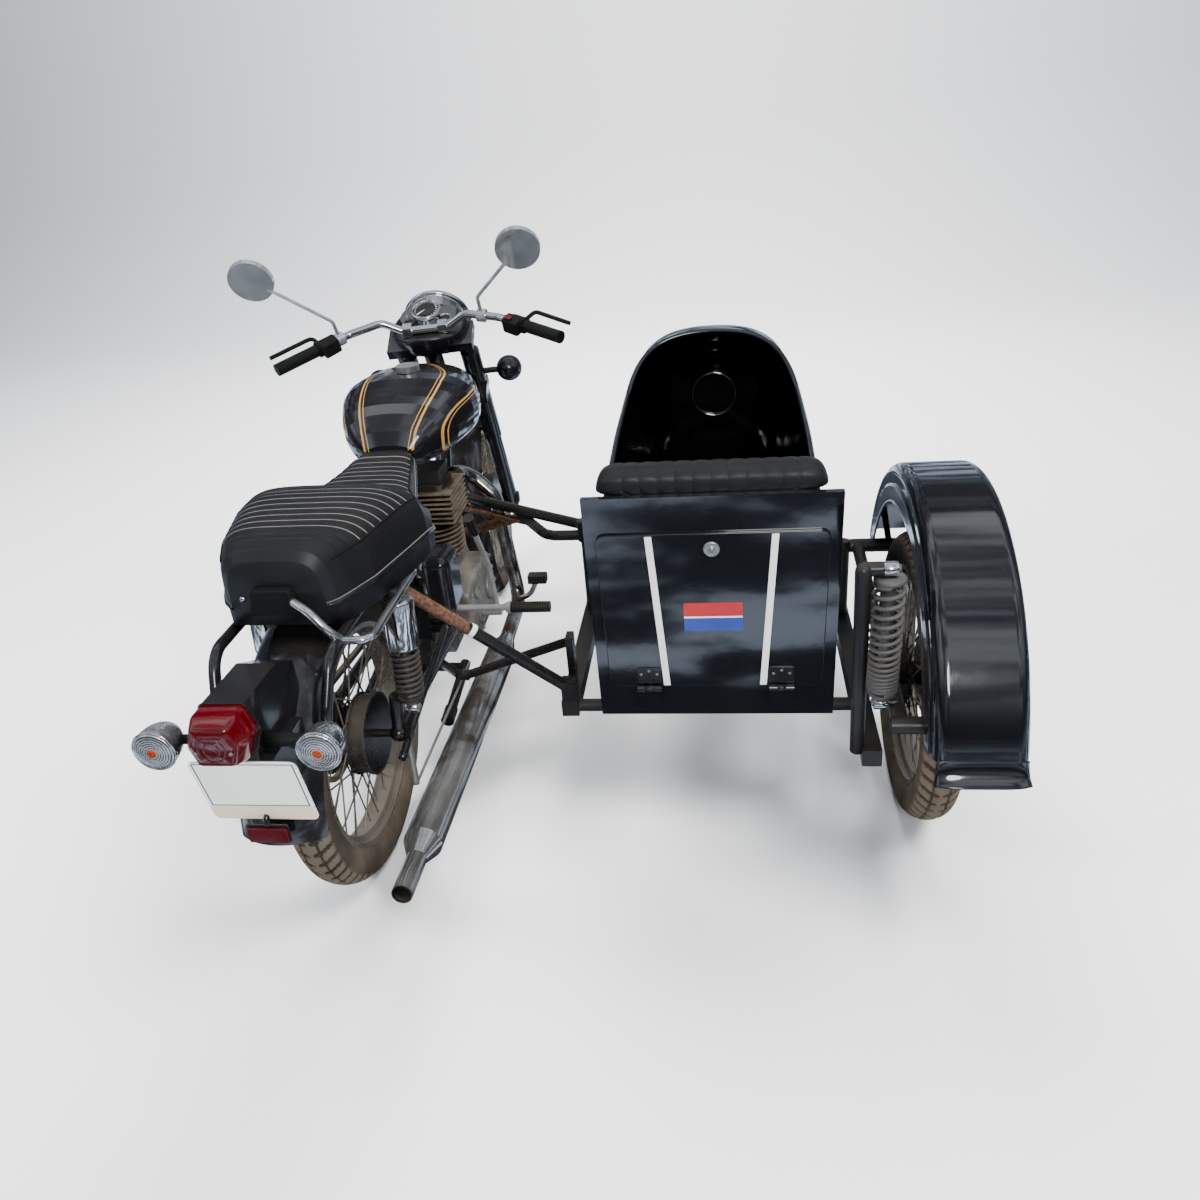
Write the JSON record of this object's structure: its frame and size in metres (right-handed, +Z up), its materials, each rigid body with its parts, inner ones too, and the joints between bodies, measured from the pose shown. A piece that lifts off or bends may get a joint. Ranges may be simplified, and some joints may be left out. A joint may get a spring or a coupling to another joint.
{
  "type": "sidecar motorcycle",
  "caption": "Classic single-cylinder motorcycle with a passenger sidecar: steered wire-wheel fork, dual seat, boxed sidecar with opening boot lid and deep fender.",
  "frame": {"origin": "on the floor under the centre of the bounding box", "axes": "+Y forward, +X to the rider's right, where the sidecar is, +Z up"},
  "size_m": [1.8257, 2.2107, 1.2628],
  "materials": {
    "tyre_rubber": "dusty black rubber",
    "wheel_chrome": "worn chrome",
    "wheel_steel": "dull plated steel",
    "black_paint": "gloss black",
    "tank_paint": "gloss black with gold stripes",
    "chassis_paint": "semi-gloss black",
    "strut_paint": "black, rusty in places",
    "sidecar_paint": "deep gloss black",
    "shock_chrome": "chrome cover, black spring",
    "shock_grey": "grey paint",
    "engine_alloy": "dusty polished alloy",
    "fin_alloy": "cast fins, brown with dust",
    "exhaust_chrome": "chrome, dusty below",
    "control_steel": "steel with rubber pads",
    "chain_steel": "oily steel",
    "bright_chrome": "bright chrome",
    "seat_vinyl": "black vinyl with pale piping",
    "red_lens": "red lens",
    "plate_white": "white, blank",
    "fork_metal": "alloy sliders, black covers",
    "panel_alloy": "brushed panel",
    "grip_rubber": "black ribbed rubber",
    "mirror_glass": "mirror in a chrome shell"
  },
  "bodies": {
    "chassis": {"frame": "black_paint", "rear_subframe": "black_paint", "swing_arm": "black_paint", "rear_shocks": "shock_chrome", "crankcase": "engine_alloy", "cylinder": "fin_alloy", "carburettor": "engine_alloy", "side_boxes": "black_paint", "exhaust": "exhaust_chrome", "foot_controls": "control_steel", "drive_chain": "chain_steel", "fuel_tank": "tank_paint", "filler_cap": "bright_chrome", "seat": "seat_vinyl", "grab_rail": "bright_chrome", "rear_mudguard": "black_paint", "tail_lamp": "red_lens", "number_plate": "plate_white", "rear_indicators": "bright_chrome", "sidecar_rails": "chassis_paint", "sidecar_cross_tubes": "chassis_paint", "sidecar_struts": "strut_paint", "sidecar_swing_arm": "chassis_paint", "sidecar_shock": "shock_grey", "sidecar_fender": "sidecar_paint", "sidecar_tub": "sidecar_paint", "rear_panel": "sidecar_paint", "seat_box": "sidecar_paint", "backrest": "seat_vinyl", "sidecar_cushion": "seat_vinyl", "nose_lamp": "bright_chrome"},
    "steering": {"fork": "fork_metal", "nacelle": "black_paint", "headlamp": "bright_chrome", "instruments": "panel_alloy", "handlebar": "bright_chrome", "hand_controls": "grip_rubber", "mirrors": "mirror_glass", "front_mudguard": "black_paint", "front_indicators": "black_paint"},
    "front_wheel_set": {"front_tyre": "tyre_rubber", "front_wheel": "wheel_chrome"},
    "rear_wheel_set": {"rear_tyre": "tyre_rubber", "rear_wheel": "wheel_chrome"},
    "sidecar_wheel_set": {"sidecar_tyre": "tyre_rubber", "sidecar_wheel": "wheel_steel"},
    "lid": {"boot_lid": "sidecar_paint"},
    "stand": {"centre_stand": "black_paint"}
  },
  "joints": [
    {"name": "steering_turn", "type": "hinge", "parent": "chassis", "child": "steering", "pos_m": [-0.44708, 0.46819, 0.84117], "axis": [0, -0.4384, 0.8988], "range_deg": [-37.5, 26.5]},
    {"name": "front_wheel_roll", "type": "hinge", "parent": "steering", "child": "front_wheel_set", "pos_m": [-0.45235, 0.78041, 0.32589], "axis": [0.9954, 0.0861, 0.042], "continuous": true},
    {"name": "rear_wheel_roll", "type": "hinge", "parent": "chassis", "child": "rear_wheel_set", "pos_m": [-0.44708, -0.58936, 0.326], "axis": [1, 0, 0], "continuous": true},
    {"name": "sidecar_wheel_roll", "type": "hinge", "parent": "chassis", "child": "sidecar_wheel_set", "pos_m": [0.80292, -0.35936, 0.326], "axis": [1, 0, 0], "continuous": true},
    {"name": "lid_open", "type": "hinge", "parent": "chassis", "child": "lid", "pos_m": [0.34792, -0.53346, 0.402], "axis": [1, 0, 0], "range_deg": [0, 115]},
    {"name": "stand_drop", "type": "hinge", "parent": "chassis", "child": "stand", "pos_m": [-0.44708, -0.11936, 0.205], "axis": [1, 0, 0], "range_deg": [0, 92], "stiffness_Nm_per_rad": 6, "springref_deg": -34.38}
  ]
}
